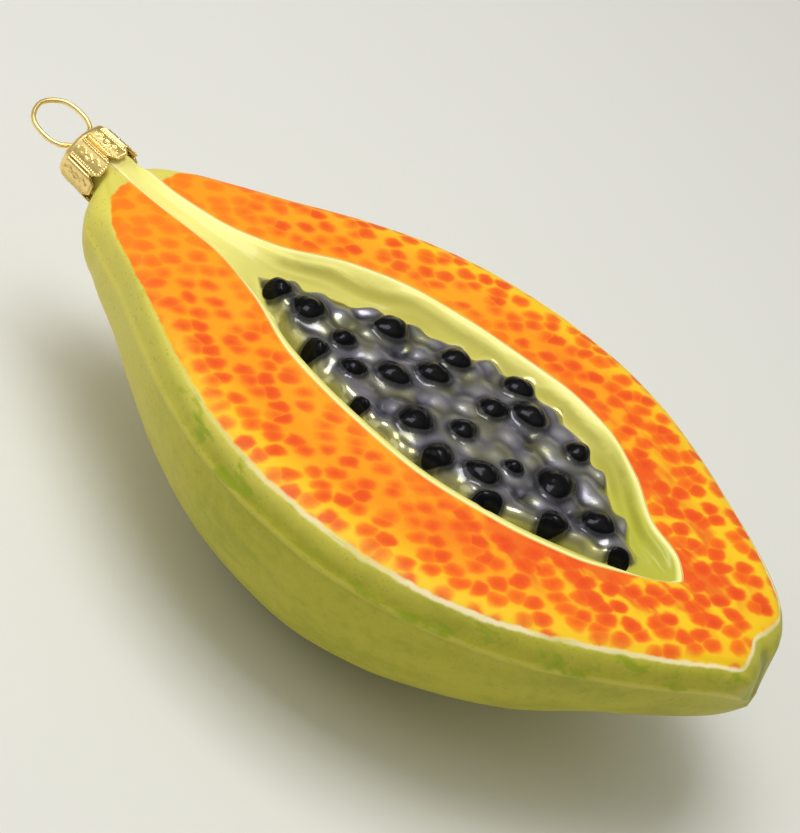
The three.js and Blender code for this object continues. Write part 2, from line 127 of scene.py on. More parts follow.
# The collar of pulp round each seed, and the height of the pulp's fine wrinkles.
COLLAR_WIDTH = 1.2
COLLAR_RISE = 1.15
WRINKLE = 0.12
# The glazed lip that stands along the pocket's near side.
LIP = 1.4
LIP_HEIGHT = 0.32

# The neck leans off the fruit's axis, and the cap and the wire share its lean.
MOUTH = Vector((0.7, 0.9, -2.6))
NECK_OUT = Vector((-1, 0.1, 0.1)).normalized()
NECK_ACROSS = (Vector((0, 1, 0)) - NECK_OUT * NECK_OUT.y).normalized()
NECK_UP = NECK_ACROSS.cross(NECK_OUT)
NECK_RADIUS = 3.8
NECK_BORE = 2.9
NECK_REACH = 4.7
# Where the flesh's two lobes part at the neck, and where each of them begins.
LOBE_SPLIT = 1.5
NEAR_LOBE = 3.6
FAR_LOBE = 6.6
# Rounding of the neck's rim, and the station where the inside of the neck is closed.
NECK_RIM = 0.25
NECK_INSIDE = 1.2
FLARE_START = 0.95
FLARE_LENGTH = 5.2
# Where the rims, the pale band's edges and the keel stand on the round neck, in degrees.
NECK_ANGLES = (2, 18, 122, 150, 270, 362)

# Sections of the neck, and of the body from where to where and how many, closest over the bed of seeds.
NECK_STATIONS = (-NECK_REACH + NECK_RIM, -2.5, -0.5)
STATION_RUNS = [(FLARE_START, 8, 36), (8.2, 25, 50), (25.3, 92, 212), (92.4, FACE_END, 46)]
# Columns of the body's grid over each stretch of a section, and the pocket's least half width there.
COLUMNS = {"flesh": 24, "pocket": 92, "side": 14, "back": 22}
NARROWEST = 2.3
# Distances that stand for well outside the cut face, the pocket and the seam.
OFF_FACE = -9.0
OFF_POCKET = -20.0
OFF_SEAM = 9.0

CAP_RADIUS = 4.55
CAP_FLARE = 0.2
CAP_LENGTH = 6.6
CAP_CHAMFER = 0.8
CAP_SHEET = 0.3
CAP_PANELS = 8
CAP_TURN = math.radians(17)
NOTCH_DEPTH = 1.4
NOTCH_HALF = 0.95
WIRE_HOLE = 0.62
# The cap's vertices this close to a hole's edge are drawn onto it.
HOLE_BAND = 0.09
# Steps of the cap's grid round it, up its wall, over its shoulder and across its end.
CAP_TURN_STEPS = 384
CAP_WALL_STEPS = 65
CAP_SHOULDER_STEPS = 8
CAP_END_STEPS = 26

WIRE_RADIUS = 0.38
WIRE_TURN = math.radians(-8)
WIRE_OFF_AXIS = -0.8
LEG_HALF = 1.5
LEG_SPREAD = 4.6
LEG_REACH = 9.0
LOOP_HALF = 3.8
LOOP_HEIGHT = 8.6
LOOP_LEAN = math.radians(2)

# The photograph's height and the focal length in its pixels, and how far off its middle the aim point falls.
FRAME_HIGH = 833
FOCAL_PIXELS = 2200
AIM_OFF_X = 34.7
AIM_OFF_Y = -21.1
AIM_ALONG = 56.0
CAMERA_AZIMUTH = math.radians(10.87)
CAMERA_HEIGHT = math.radians(38.74)
CAMERA_ROLL = math.radians(28.66)
CAMERA_DISTANCE = 298.5

# How rough each finish of the glass is, how silvery the pulp and the seeds are, and the lacquer's shine.
ROUGHNESS = {"skin": 0.44, "flesh": 0.52, "pocket": 0.24, "pulp": 0.21, "seed": 0.16}
PULP_SILVER = 0.68
SEED_SILVER = 0.75
LACQUER_SHINE = 0.22
# Length, width and depth of the cells that hold the flesh's spots, and their turn from the fruit's length.
SPOT_CELL = (3.3, 2.55, 3.0)
SPOT_TURN = math.radians(53)

# The two soft lights, in metres, and their faintly cool colour.
KEY_PLACE = (-0.09, 0.0, 0.54)
KEY_SIZE = (0.28, 0.28)
FILL_PLACE = (-0.5, -0.3, 0.5)
FILL_SIZE = (0.5, 0.3)
FILL_AIM = (0, 0, 0.02)
LIGHT_TONE = (0.98, 0.99, 1.0)
# The room's brightness at the horizon and below, then by height over it, and its warm colour.
SKY_LEVEL = 0.56
SKY_BANDS = ((0.2, 0.62), (0.42, 0.2), (0.66, 0.28))
SKY_WARMTH = (1, 0.98, 0.84, 1)


def through(knots):
    """A smooth line through knots, level at a peak and never overshooting, for arrays."""
    x, y = (np.array(column, float) for column in zip(*knots))
    rate = np.diff(y) / np.diff(x)
    slope = np.zeros_like(y)
    product = rate[:-1] * rate[1:]
    total = np.where(product > 0, rate[:-1] + rate[1:], 1.0)
    slope[1:-1] = np.where(product > 0, 2 * product / total, 0.0)
    slope[0], slope[-1] = rate[0], rate[-1]

    def line(at):
        at = np.clip(at, x[0], x[-1])
        i = np.clip(np.searchsorted(x, at, side="left") - 1, 0, len(x) - 2)
        span = x[i + 1] - x[i]
        t = (at - x[i]) / span
        rise = t * t * (3 - 2 * t)
        bend = slope[i] * t * (1 - t) ** 2 - slope[i + 1] * t * t * (1 - t)
        return y[i] * (1 - rise) + y[i + 1] * rise + bend * span

    return line


face_half = through(FACE_HALF)
seam_half = through(SEAM_HALF)
seam_depth = through(SEAM_DEPTH)
keel_depth = through(KEEL_DEPTH)
pocket_near = through(POCKET_NEAR)
pocket_far = through(POCKET_FAR)
pocket_depth = through(POCKET_DEPTH)
bed_near = through(BED_NEAR)
bed_far = through(BED_FAR)


def ramp(value, low, high):
    """Smooth rise from 0 to 1 between two values."""
    t = np.clip((value - low) / (high - low), 0.0, 1.0)
    return t * t * (3 - 2 * t)


def bell(value, width):
    """A bump of height 1 that fades on either side of zero."""
    return np.exp(-((value / width) ** 2))


def dome(distance):
    """Height of half a ball of radius 1 at a distance from its middle."""
    return np.sqrt(np.clip(1 - distance * distance, 0.0, 1.0))


def soft_least(a, b, blend):
    """The lesser of two fields, rounded where they cross."""
    h = np.clip(0.5 + 0.5 * (b - a) / blend, 0.0, 1.0)
    return b + (a - b) * h - blend * h * (1 - h)


def colour(red, green, blue):
    """A colour given as it looks on a screen, 0 to 255, as Blender's linear values."""
    out = []
    for value in (red, green, blue):
        v = value / 255
        out.append(v / 12.92 if v <= 0.04045 else ((v + 0.055) / 1.055) ** 2.4)
    return (*out, 1.0)


# Shades that go with the colours a user can change.
AMBER_PATCH = colour(255, 140, 16)
NECK_ORANGE = colour(255, 138, 20)
RIPE_ORANGE = colour(255, 124, 18)
SPOT_HEART = colour(230, 64, 16)
# Painted shade for the furrow of the blossom end.
FURROW_SHADE = colour(132, 134, 40)
SPECK_GREEN = colour(118, 138, 20)
LIP_GLAZE = colour(255, 252, 176)
LIP_EDGE = colour(200, 160, 40)
PULP_LILAC = colour(146, 140, 168)
PULP_OLIVE = colour(140, 138, 96)
PULP_EDGE = colour(198, 192, 118)
PULP_SHADE = colour(40, 42, 48)
GROOVE_BROWN = colour(160, 110, 46)
WORN_GOLD = colour(214, 164, 86)
FLOOR_SHADE = colour(214, 214, 208)


def tint(name, about, rgb):
    """A colour that a user can change, given as it looks on a screen."""
    return FloatVectorProperty(name=name, description=about, subtype="COLOR", size=4, min=0, max=1,
                               default=colour(*rgb))


def relief(name, about, millimetres):
    """A height of relief that a user can change."""
    return FloatProperty(name=name, description=about, default=millimetres * MM, unit="LENGTH")


def brightness(name, about, watts):
    """The power of a light that a user can change."""
    return FloatProperty(name=name, description=about, default=watts, min=0, unit="POWER")


class GlassSettings(bpy.types.PropertyGroup):
    """Relief and paint of the blown glass."""

    seed_rise: relief("Seed rise", "Height of a seed over the pulp", 1.05)
    lump_rise: relief("Pulp rise", "Height of a lump of pulp", 1.5)
    seam_ridge: relief("Seam ridge", "Height of the mould seam", 0.4)
    skin: tint("Skin", "Green of the skin", (190, 184, 56))
    skin_deep: tint("Deep skin", "Darker streaks of the skin", (152, 156, 32))
    dab: tint("Green dabs", "Dabs of green over the seam", (150, 172, 26))
    # Painted light: a paler skin laid beside the cut face, at the neck and along the seam ridge.
    skin_lit: tint("Pale skin", "Skin beside the cut face", (232, 220, 104))
    flesh: tint("Flesh", "Orange of the flesh", (255, 150, 26))
    blotch: tint("Blotches", "Red-orange spots in the flesh", (243, 86, 24))
    light: tint("Light flesh", "Yellow between the spots", (255, 208, 34))
    rim: tint("Rim", "Cream line round the cut face", (255, 240, 190))
    pocket: tint("Pocket", "Bright glaze of the pocket's edge", (252, 244, 144))
    # Painted shade: the khaki used where the pocket lies deep below the face.
    pocket_shade: tint("Deep pocket", "Khaki glaze low in the pocket", (214, 206, 108))
    pocket_tip: tint("Pocket tip", "Olive glaze toward the blossom end", (184, 186, 62))
    pulp: tint("Pulp", "Pearly grey on the crests of the pulp", (160, 159, 160))
    # Painted shade: the dark grey laid in the valleys between the lumps of pulp.
    pulp_valley_shade: tint("Deep pulp", "Dark grey between the lumps of pulp", (56, 57, 63))
    seed: tint("Seed", "Black of the seeds", (26, 26, 30))


class MetalSettings(bpy.types.PropertyGroup):
    """Relief and colour of the cap and the wire."""

    emboss: relief("Embossing", "Height of the cap's stamped relief", 0.23)
    gold: tint("Gold", "Colour of the cap", (255, 226, 150))
    wire: tint("Wire", "Colour of the wire", (255, 228, 155))


class StageSettings(bpy.types.PropertyGroup):
    """Floor and lights."""

    floor: tint("Floor", "Colour of the floor", (232, 231, 229))
    key_power: brightness("Key light", "Power of the large soft light", 1.62)
    sky: FloatProperty(name="Sky", description="Strength of the light from all round", default=0.86, min=0)
    fill_power: brightness("Fill light", "Power of the low light in front", 0.5)


class Paint:
    """A node material under construction. Its start is the fruit's neck end along X, in millimetres."""

    def __init__(self, name, start=0.0):
        self.start = start
        self.material = bpy.data.materials.new(name)
        self.material.use_nodes = True
        self.tree = self.material.node_tree
        self.shader = self.tree.nodes["Principled BSDF"]
        place = self.tree.nodes.new("ShaderNodeTexCoord")
        node = self.tree.nodes.new("ShaderNodeMapping")
        node.inputs["Scale"].default_value = (1 / MM,) * 3
        self.tree.links.new(place.outputs["Object"], node.inputs["Vector"])
        self.millimetres = node.outputs["Vector"]

    def wire(self, value, socket):
        """Link a socket, or set a plain value on it."""
        if isinstance(value, bpy.types.NodeSocket):
            self.tree.links.new(value, socket)
        else:
            socket.default_value = value

    def stretched(self, turn, sizes):
        """Object coordinates in cells that long and wide, in millimetres, turned about the vertical."""
        node = self.tree.nodes.new("ShaderNodeMapping")
        node.vector_type = "TEXTURE"
        node.inputs["Rotation"].default_value = (0, 0, turn)
        node.inputs["Scale"].default_value = sizes
        self.tree.links.new(self.millimetres, node.inputs["Vector"])
        return node.outputs["Vector"]

    def station(self):
        """Distance along the fruit from the cap, in millimetres."""
        node = self.tree.nodes.new("ShaderNodeSeparateXYZ")
        self.tree.links.new(self.millimetres, node.inputs[0])
        return self.minus(node.outputs["X"], self.start)

    def attribute(self, name):
        """One of the values kept on the mesh."""
        node = self.tree.nodes.new("ShaderNodeAttribute")
        node.attribute_name = name
        return node.outputs["Fac"]

    def math(self, operation, a, b=0.0):
        """One sum on one or two values."""
        node = self.tree.nodes.new("ShaderNodeMath")
        node.operation = operation
        self.wire(a, node.inputs[0])
        self.wire(b, node.inputs[1])
        return node.outputs[0]

    def times(self, a, b):
        return self.math("MULTIPLY", a, b)

    def plus(self, a, b):
        return self.math("ADD", a, b)

    def minus(self, a, b):
        return self.math("SUBTRACT", a, b)

    def step(self, value, low, high, to_low=0.0, to_high=1.0):
        """Smooth step of a value from one level to another."""
        node = self.tree.nodes.new("ShaderNodeMapRange")
        node.interpolation_type = "SMOOTHSTEP"
        self.wire(value, node.inputs["Value"])
        low_first = low < high
        node.inputs["From Min"].default_value = low if low_first else high
        node.inputs["From Max"].default_value = high if low_first else low
        node.inputs["To Min"].default_value = to_low if low_first else to_high
        node.inputs["To Max"].default_value = to_high if low_first else to_low
        return node.outputs["Result"]

    def noise(self, scale, detail=2.0, vector=None, distortion=0.0, roughness=0.5):
        """Cloudy noise, per millimetre unless another vector is given."""
        node = self.tree.nodes.new("ShaderNodeTexNoise")
        node.inputs["Scale"].default_value = scale
        node.inputs["Detail"].default_value = detail
        node.inputs["Distortion"].default_value = distortion
        node.inputs["Roughness"].default_value = roughness
        self.tree.links.new(vector or self.millimetres, node.inputs["Vector"])
        return node.outputs["Fac"]

    def cells(self, scale, vector, randomness=1.0, flat=False):
        """Distance to the nearest cell centre, and a random value of each cell."""
        node = self.tree.nodes.new("ShaderNodeTexVoronoi")
        node.voronoi_dimensions = "2D" if flat else "3D"
        node.inputs["Scale"].default_value = scale
        node.inputs["Randomness"].default_value = randomness
        self.tree.links.new(vector, node.inputs["Vector"])
        split = self.tree.nodes.new("ShaderNodeSeparateColor")
        self.tree.links.new(node.outputs["Color"], split.inputs[0])
        return node.outputs["Distance"], split.outputs[0]

    def shifted(self, vector, amount, scale):
        """A vector pushed about by noise, so that cells lose their regular shapes."""
        node = self.tree.nodes.new("ShaderNodeTexNoise")
        node.inputs["Scale"].default_value = scale
        self.tree.links.new(vector, node.inputs["Vector"])
        move = self.tree.nodes.new("ShaderNodeVectorMath")
        move.operation = "MULTIPLY_ADD"
        self.tree.links.new(node.outputs["Color"], move.inputs[0])
        move.inputs[1].default_value = (amount,) * 3
        self.tree.links.new(vector, move.inputs[2])
        return move.outputs[0]

    def mix(self, amount, a, b, kind="RGBA"):
        """From one colour to another."""
        node = self.tree.nodes.new("ShaderNodeMix")
        node.data_type = kind
        self.wire(amount, node.inputs["Factor"])
        self.wire(a, node.inputs["A"])
        self.wire(b, node.inputs["B"])
        return node.outputs["Result"]

    def blend(self, amount, a, b):
        """From one plain value to another."""
        return self.mix(amount, a, b, "FLOAT")

    def bump(self, height, strength, distance):
        """Fine relief in the shading, to a depth in metres."""
        node = self.tree.nodes.new("ShaderNodeBump")
        node.inputs["Strength"].default_value = strength
        node.inputs["Distance"].default_value = distance
        self.wire(height, node.inputs["Height"])
        self.wire(node.outputs["Normal"], self.shader.inputs["Normal"])

    def finish(self, base, roughness, metallic=0.0):
        """Join the colour and the gloss to the shader."""
        self.wire(base, self.shader.inputs["Base Color"])
        self.wire(roughness, self.shader.inputs["Roughness"])
        self.wire(metallic, self.shader.inputs["Metallic"])
        return self.material


def flesh_colour(paint, look):
    """Orange flesh with soft red-orange ovals and a web of yellow between them."""
    station = paint.station()
    loose = paint.shifted(paint.stretched(SPOT_TURN, SPOT_CELL), 0.55, 1.1)
    reach, pick = paint.cells(1.0, loose, randomness=0.8, flat=True)
    patch = paint.noise(0.11, 1.0)
    spread = paint.plus(reach, paint.times(paint.minus(pick, 0.5), 0.2))
    from_rim = paint.attribute("flesh_in")
    from_pocket = paint.times(paint.attribute("pocket_in"), -1.0)
    strength = paint.times(paint.step(station, 8.0, 26.0, 0.2, 1.0), paint.step(patch, 0.36, 0.50, 0.85, 1.0))
    strength = paint.times(strength, paint.step(from_pocket, 0.4, 2.6, 0.3, 1.0))
    strength = paint.times(strength, paint.step(pick, 0.0, 1.0, 1.0, 0.6))
    spot = paint.times(paint.step(spread, 0.48, 0.22), strength)
    heart = paint.times(paint.step(spread, 0.24, 0.06), strength)
    rim_side = paint.step(from_rim, 9.0, 1.0)
    end_side = paint.step(station, 66.0, 98.0)
    sunny = paint.math("MAXIMUM", paint.times(rim_side, paint.step(station, 18.0, 46.0)), end_side)
    web = paint.times(paint.step(reach, 0.36, 0.62), paint.plus(paint.times(sunny, 0.72), 0.24))
    streak = paint.noise(1.0, 2.0, paint.stretched(math.radians(-20), (6.0, 2.8, 4.0)), distortion=0.3)
    red_zone = paint.times(paint.step(station, 54.0, 82.0), paint.step(from_pocket, 11.0, 4.0))
    red_zone = paint.times(red_zone, paint.step(streak, 0.38, 0.60))
    base = paint.mix(paint.step(patch, 0.40, 0.60), look.flesh, AMBER_PATCH)
    base = paint.mix(paint.step(station, 30.0, 12.0), base, NECK_ORANGE)
    base = paint.mix(paint.step(station, 44.0, 78.0, 0.0, 0.75), base, RIPE_ORANGE)
    base = paint.mix(web, base, look.light)
    base = paint.mix(paint.times(red_zone, 0.85), base, look.blotch)
    hot = paint.times(paint.step(from_rim, 3.2, 0.3), paint.step(streak, 0.36, 0.60, 0.25, 0.85))
    hot = paint.times(hot, paint.step(station, 20.0, 40.0))
    base = paint.mix(hot, base, look.light)
    base = paint.mix(paint.times(spot, 0.82), base, look.blotch)
    return paint.mix(paint.times(heart, 0.4), base, SPOT_HEART)


def skin_colour(paint, look):
    """Yellow-green skin, green dabs and fine dark specks; painted light pales it by the cut, the neck and the
    seam ridge.
    """
    streak = paint.noise(1.0, 3.0, paint.stretched(0.0, (26.0, 5.0, 5.0)), distortion=0.3)
    mottle = paint.noise(0.45, 5.0, roughness=0.65)
    mixed = paint.plus(paint.times(streak, 0.5), paint.times(mottle, 0.5))
    station = paint.station()
    base = paint.mix(paint.step(mixed, 0.42, 0.66, 0.0, 0.55), look.skin, look.skin_deep)
    # Painted light: the skin is paler toward the cut face and toward the neck, where the light falls
    # brightest.
    by_cut = paint.times(paint.step(paint.attribute("flesh_in"), -4.0, -0.3),
                         paint.step(station, 84.0, 36.0, 0.25, 0.8))
    by_neck = paint.step(station, 46.0, 8.0, 0.0, 0.85)
    base = paint.mix(paint.math("MAXIMUM", by_cut, by_neck), base, look.skin_lit)
    # Painted highlight: a pale line along the mould seam's ridge.
    seam = paint.attribute("from_seam")
    line = paint.step(paint.math("ABSOLUTE", seam), 0.8, 0.1)
    base = paint.mix(paint.times(line, 0.45), base, look.skin_lit)
    over_seam = paint.times(paint.step(seam, 0.8, -0.4), paint.step(seam, -6.0, -4.0))
    dab = paint.noise(1.0, 3.0, paint.stretched(0.0, (6.0, 2.6, 2.6)), distortion=0.4)
    dab = paint.times(paint.step(dab, 0.54, 0.68), paint.step(station, 14.0, 24.0))
    base = paint.mix(paint.times(paint.times(dab, over_seam), 0.75), base, look.dab)
    # Painted shade: darker olive deep in the furrow of the blossom end.
    base = paint.mix(paint.step(paint.attribute("furrow_in"), 0.1, 0.9, 0.0, 0.6), base, FURROW_SHADE)
    speck, pick = paint.cells(1.9, paint.shifted(paint.millimetres, 0.7, 1.4))
    crowd = paint.step(paint.noise(0.12, 2.0), 0.44, 0.60, 0.84, 0.5)
    dot = paint.times(paint.step(speck, 0.42, 0.12), paint.math("GREATER_THAN", pick, crowd))
    return paint.mix(paint.times(dot, 0.25), base, SPECK_GREEN)


def pocket_colour(paint, look):
    """Pale glaze at the neck and along the pocket's lip, khaki painted shade where it lies deep on its far
    wall, olive at its tip.
    """
    inside = paint.attribute("pocket_in")
    station = paint.station()
    fold = paint.noise(1.0, 3.0, paint.stretched(math.radians(14), (16.0, 2.4, 2.4)), distortion=0.8)
    # Painted shade: darker khaki where the pocket lies deeper below the face, broken up by folds.
    depth = paint.plus(paint.attribute("below_face"), paint.times(paint.minus(fold, 0.5), 2.2))
    khaki = paint.times(paint.step(depth, 0.35, 1.7), paint.step(station, 16.0, 34.0, 0.4, 1.0))
    base = paint.mix(khaki, look.pocket, look.pocket_shade)
    tip = paint.times(paint.step(station, 72.0, 90.0), paint.step(inside, 0.3, 1.0))
    base = paint.mix(paint.times(tip, 0.85), base, look.pocket_tip)
    base = paint.mix(paint.step(inside, 0.9, 0.3, 0.0, 0.85), base, LIP_GLAZE)
    line = paint.step(paint.math("ABSOLUTE", paint.minus(inside, 0.10)), 0.15, 0.02)
    return paint.mix(paint.times(line, 0.7), base, LIP_EDGE)


def pulp_colour(paint, look):
    """Pearly pulp: pale lilac on the crests, painted shade making it dark between them, and dark around the
    seeds.
    """
    crest = paint.attribute("pulp_high")
    swirl = paint.shifted(paint.millimetres, 3.0, 0.3)
    cloud = paint.noise(0.22, 2.0, swirl)
    # Painted shade: the pulp darkens from its crests down into the valleys between the lumps.
    base = paint.mix(paint.step(crest, 0.25, 0.95), look.pulp_valley_shade, look.pulp)
    base = paint.mix(paint.step(cloud, 0.46, 0.66, 0.0, 0.55), base, PULP_LILAC)
    base = paint.mix(paint.step(cloud, 0.50, 0.35, 0.0, 0.6), base, PULP_OLIVE)
    base = paint.mix(paint.step(paint.attribute("bed_in"), 3.4, 0.6, 0.0, 0.85), base, PULP_EDGE)
    return paint.mix(paint.step(paint.attribute("seed_in"), -0.50, -0.02, 0.0, 0.8), base, PULP_SHADE)


def glass_paint(look, start):
    """Lacquer and paint on silvered glass, laid out by what each place of the body is."""
    paint = Paint("painted_glass", start)
    ragged = paint.times(paint.minus(paint.noise(0.5, 3.0), 0.5), 0.9)
    flesh_in = paint.plus(paint.attribute("flesh_in"), ragged)
    on_flesh = paint.step(flesh_in, -0.18, 0.18)
    base = paint.mix(on_flesh, skin_colour(paint, look), flesh_colour(paint, look))
    along = paint.times(paint.step(paint.noise(0.06, 1.0), 0.40, 0.58, 0.35, 1.0),
                       paint.step(paint.station(), 26.0, 52.0))
    line = paint.step(paint.math("ABSOLUTE", paint.plus(flesh_in, 0.2)), 0.6, 0.12)
    base = paint.mix(paint.times(line, along), base, look.rim)
    pocket_in = paint.attribute("pocket_in")
    in_pocket = paint.step(pocket_in, -0.08, 0.08)
    base = paint.mix(in_pocket, base, pocket_colour(paint, look))
    on_bed = paint.step(paint.attribute("bed_in"), 0.0, 0.5)
    base = paint.mix(on_bed, base, pulp_colour(paint, look))
    on_seed = paint.step(paint.attribute("seed_in"), 0.04, 0.12)
    base = paint.mix(on_seed, base, look.seed)
    pearly = paint.times(on_bed, paint.minus(1.0, on_seed))
    metallic = paint.blend(pearly, 0.0, PULP_SILVER)
    metallic = paint.blend(on_seed, metallic, SEED_SILVER)
    roughness = ROUGHNESS["skin"]
    for amount, finish in ((on_flesh, "flesh"), (in_pocket, "pocket"), (on_bed, "pulp"), (on_seed, "seed")):
        roughness = paint.blend(amount, roughness, ROUGHNESS[finish])
    paint.shader.inputs["Specular IOR Level"].default_value = LACQUER_SHINE
    paint.bump(paint.noise(0.8, 3.0), 0.10, 0.3 * MM)
    return paint.finish(base, roughness, metallic)


def gold_paint(name, tone):
    """Thin gold-toned metal: satin on the flats, darker in the grooves, bright on the ridges."""
    paint = Paint(name)
    grime = paint.noise(1.2, 4.0)
    raised = paint.attribute("raised")
    base = paint.mix(paint.step(raised, 0.1, -0.7, 0.0, 0.7), tone, GROOVE_BROWN)
    base = paint.mix(paint.step(grime, 0.5, 0.75, 0.0, 0.25), base, WORN_GOLD)
    roughness = paint.step(grime, 0.3, 0.7, 0.26, 0.40)
    paint.bump(paint.noise(6.0, 2.0), 0.1, 0.05 * MM)
    return paint.finish(base, roughness, metallic=1.0)


def mesh_grid(rows, columns):
    """A flat grid from a bmesh operator, with each vertex's row and column number."""
    bm = bmesh.new()
    bmesh.ops.create_grid(bm, x_segments=columns - 1, y_segments=rows - 1, size=0.5)
    flat = np.array([v.co for v in bm.verts])
    row = np.rint((flat[:, 1] + 0.5) * (rows - 1)).astype(int)
    column = np.rint((flat[:, 0] + 0.5) * (columns - 1)).astype(int)
    return bm, row, column


def shaped_piece(name, places, values, material, closed=True):
    """A mesh from a grid bent to the given places, with the values kept as named attributes."""
    rows, columns = places.shape[:2]
    bm, row, column = mesh_grid(rows, columns)
    for vertex, place in zip(bm.verts, places[row, column] * MM):
        vertex.co = place
    mesh = bpy.data.meshes.new(name)
    bm.to_mesh(mesh)
    bm.free()
    for label, value in values.items():
        layer = mesh.attributes.new(label, "FLOAT", "POINT")
        layer.data.foreach_set("value", value[row, column].astype(np.float32))
    bm = bmesh.new()
    bm.from_mesh(mesh)
    bmesh.ops.remove_doubles(bm, verts=bm.verts, dist=0.004 * MM)
    if closed:
        bmesh.ops.recalc_face_normals(bm, faces=bm.faces)
    for face in bm.faces:
        face.smooth = True
    bm.to_mesh(mesh)
    bm.free()
    piece = bpy.data.objects.new(name, mesh)
    bpy.context.collection.objects.link(piece)
    mesh.materials.append(material)
    return piece


def take_place(piece, node):
    """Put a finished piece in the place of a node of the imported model."""
    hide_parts(node)
    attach(piece, "root")


def pulp_lumps():
    """Clear lumps of pulp between the seeds, in staggered rows."""
    lumps = []
    s, row = BED_START + 2, 0
    while s < BED_END - 1:
        y = float(bed_near(s)) + (LUMP_PITCH / 2 if row % 2 else 0)
        while y < bed_far(s):
            lumps.append((s + 0.8 * math.sin(3 * y), y, LUMP_RADIUS * (1 + 0.15 * math.sin(s * y))))
            y += LUMP_PITCH
        s += LUMP_ROW_PITCH
        row += 1
    return lumps


def pocket_floor(s, y):
    """Height of the pocket's floor and walls under the cut face, before the pulp."""
    near, far = y - pocket_near(s), pocket_far(s) - y
    width = near + far
    near_wall = np.minimum(NEAR_WALL, np.maximum(width * NEAR_WALL_SHARE, 0.01))
    far_wall = np.minimum(FAR_WALL, np.maximum(width * FAR_WALL_SHARE, 0.01))
    cover = np.minimum(ramp(near, 0, near_wall), ramp(far, 0, far_wall))
    return np.where((near > 0) & (far > 0), -pocket_depth(s) * cover, 0.0)


def bed_distance(s, y):
    """How far inside the bed of pulp a place is, with bulges along the bed's edges."""
    bulge = np.sin(1.1 * s + 0.4) + 0.25 * np.sin(1.9 * s)
    across = np.minimum(y - bed_near(s) + 0.3 * bulge, bed_far(s) - y + 0.7 * bulge)
    return soft_least(across, np.minimum(s - BED_START, BED_END - s), 1.5)


def smoothed(height, passes):
    """A field over the grid with its sharp creases softened."""
    for _ in range(passes):
        for axis in (0, 1):
            grown = np.concatenate([height.take([0], axis), height, height.take([-1], axis)], axis)
            ends = [slice(None)] * 2
            ends[axis] = slice(2, None)
            height = (height * 2 + np.delete(grown, [-1, -2], axis) + grown[tuple(ends)]) / 4
    return height


def face_relief(s, y, look):
    """Height of the cut face, how far inside a seed each place is, and the height of the pulp."""
    edge = ramp(np.abs(y), face_half(s) - RIM_ROUND, face_half(s))
    floor = pocket_floor(s, y)
    cover = ramp(bed_distance(s, y), -0.6, 2.4)
    wall = np.clip(pocket_far(s) - y, 0, 9)
    lip = LIP_HEIGHT * bell(y - pocket_near(s) + LIP - 0.6, 0.6) * ramp(s, 22, 34) * (1 - ramp(s, 88, 96))
    wander = 0.5 * np.sin(0.21 * s + 0.6) + 0.25 * np.sin(0.53 * s)
    folds = 0.5 * bell(wall - 1.7 - wander, 0.45) + 0.4 * bell(wall - 3.5 - 1.3 * wander, 0.55)
    floor = floor + folds * ramp(s, 20, 30) * (1 - ramp(s, 92, 97)) * (1 - cover) * (wall > 0)
    height = floor + lip - RIM_DROP * edge * edge
    lump_rise, seed_rise = look.lump_rise / MM, look.seed_rise / MM
    lumps = np.zeros_like(s)
    for along, across, radius in pulp_lumps():
        lumps = np.maximum(lumps, 1 - ((s - along) ** 2 + (y - across) ** 2) / radius ** 2)
    seeds = np.zeros_like(s)
    ring = np.zeros_like(s)
    collars = np.zeros_like(s)
    inside = np.full_like(s, -1.0)
    for number, (along, across, half) in enumerate(SEEDS):
        turn = math.radians(SEED_LEAN + SEED_SCATTER * math.sin(7 * number))
        long_way = (s - along) * math.cos(turn) + (y - across) * math.sin(turn)
        short_way = (y - across) * math.cos(turn) - (s - along) * math.sin(turn)
        half = half * SEED_SWELL
        point = 1 + 0.05 * np.cos(3 * np.arctan2(short_way, long_way) + number)
        reach = np.hypot(long_way, short_way * SEED_SLIM) / (half * point)
        seeds = np.maximum(seeds, dome(reach))
        collars = np.maximum(collars, COLLAR_RISE * dome(reach * half / (half + COLLAR_WIDTH)))
        ring = np.maximum(ring, bell(reach - 0.5, 0.13) * (long_way + short_way > -0.5 * half))
        inside = np.maximum(inside, 1 - reach)
    bed = (BED_TOP - lump_rise - floor) * cover
    wrinkle = WRINKLE * np.sin(2.1 * s + 1.1 * y + 0.8 * np.sin(y)) * np.sin(1.9 * y - 0.8 * s)
    pulp = smoothed(np.maximum(lumps, collars) * lump_rise + wrinkle, 6)
    height = smoothed(height + bed + cover * pulp, 2)
    height = height + np.sqrt(cover) * (seed_rise * seeds - SEED_RING_DEPTH * ring * (seeds > 0))
    return height, inside, pulp / lump_rise


